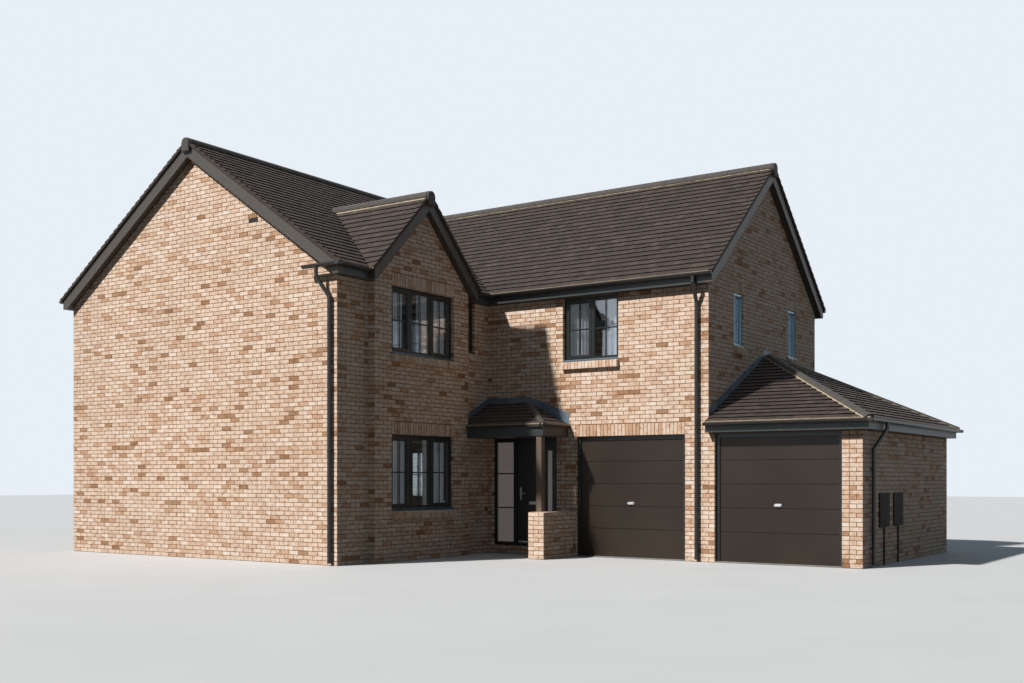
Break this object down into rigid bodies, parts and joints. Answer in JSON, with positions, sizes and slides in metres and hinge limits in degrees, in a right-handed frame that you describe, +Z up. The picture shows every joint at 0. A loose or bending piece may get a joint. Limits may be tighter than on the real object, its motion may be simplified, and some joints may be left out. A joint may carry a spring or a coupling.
{
  "type": "detached house",
  "caption": "Two-storey brick house: a gabled wing with a bay, a range with an integral garage, an attached garage and a porch canopy; the front door opens.",
  "frame": {"origin": "at ground level below the middle of the outline, gutters included", "axes": "+X to the right along the front, +Y from the front to the back, +Z up"},
  "size_m": [15.1886, 10.1616, 7.7334],
  "materials": {
    "brick": "facing brick with pale mortar joints",
    "concrete": "smooth screed",
    "boards": "floor boards",
    "plaster": "matt plaster",
    "roof_tile": "flat interlocking concrete tiles",
    "ridge_tile": "rounded concrete ridge tiles",
    "dark_trim": "dark grey woodgrain foil",
    "dark_plastic": "semi-matt rainwater goods",
    "lead": "weathered lead sheet",
    "window_frame": "anthracite frames",
    "glass": "clear double glazing",
    "frosted_glass": "obscured glass",
    "door": "dark satin door skin",
    "metal": "satin steel",
    "meter_box": "dark moulded plastic"
  },
  "bodies": {
    "house": {"wing_front_wall": "brick", "wing_left_wall": "brick", "wing_side_wall": "brick", "bay_wall": "brick", "range_front_piers": "brick", "range_upper_wall": "brick", "range_gable_wall": "brick", "rear_wall": "brick", "garage_front_wall": "brick", "garage_side_wall": "brick", "garage_back_wall": "brick", "porch_wall": "brick", "ground_floor": "concrete", "first_floor": "boards", "loft_floor": "plaster", "wing_roof": "roof_tile", "bay_roof": "roof_tile", "range_roof": "roof_tile", "garage_roof": "roof_tile", "canopy_roof": "roof_tile", "ridge_tiles": "ridge_tile", "bargeboards": "dark_trim", "fascias": "dark_trim", "gutters": "dark_plastic", "downpipes": "dark_plastic", "lead_flashings": "lead", "soldier_courses": "brick", "window_sills": "brick", "wing_window_frames": "window_frame", "front_window_frame": "window_frame", "gable_window_frames": "window_frame", "rear_window_frames": "window_frame", "wing_window_glass": "glass", "front_window_glass": "glass", "gable_window_glass": "glass", "rear_window_glass": "glass", "door_frame": "window_frame", "sidelight_glass": "frosted_glass", "garage_door_frames": "window_frame", "garage_doors": "door", "meter_boxes": "meter_box", "porch_post": "dark_trim"},
    "door_leaf": {"front_door": "door", "front_door_glass": "frosted_glass", "door_furniture": "metal"}
  },
  "joints": [
    {"name": "front_door_hinge", "type": "hinge", "parent": "house", "child": "door_leaf", "pos_m": [1.417, -0.3395, 1.2], "axis": [0, 0, -1], "range_deg": [0, 90]}
  ]
}
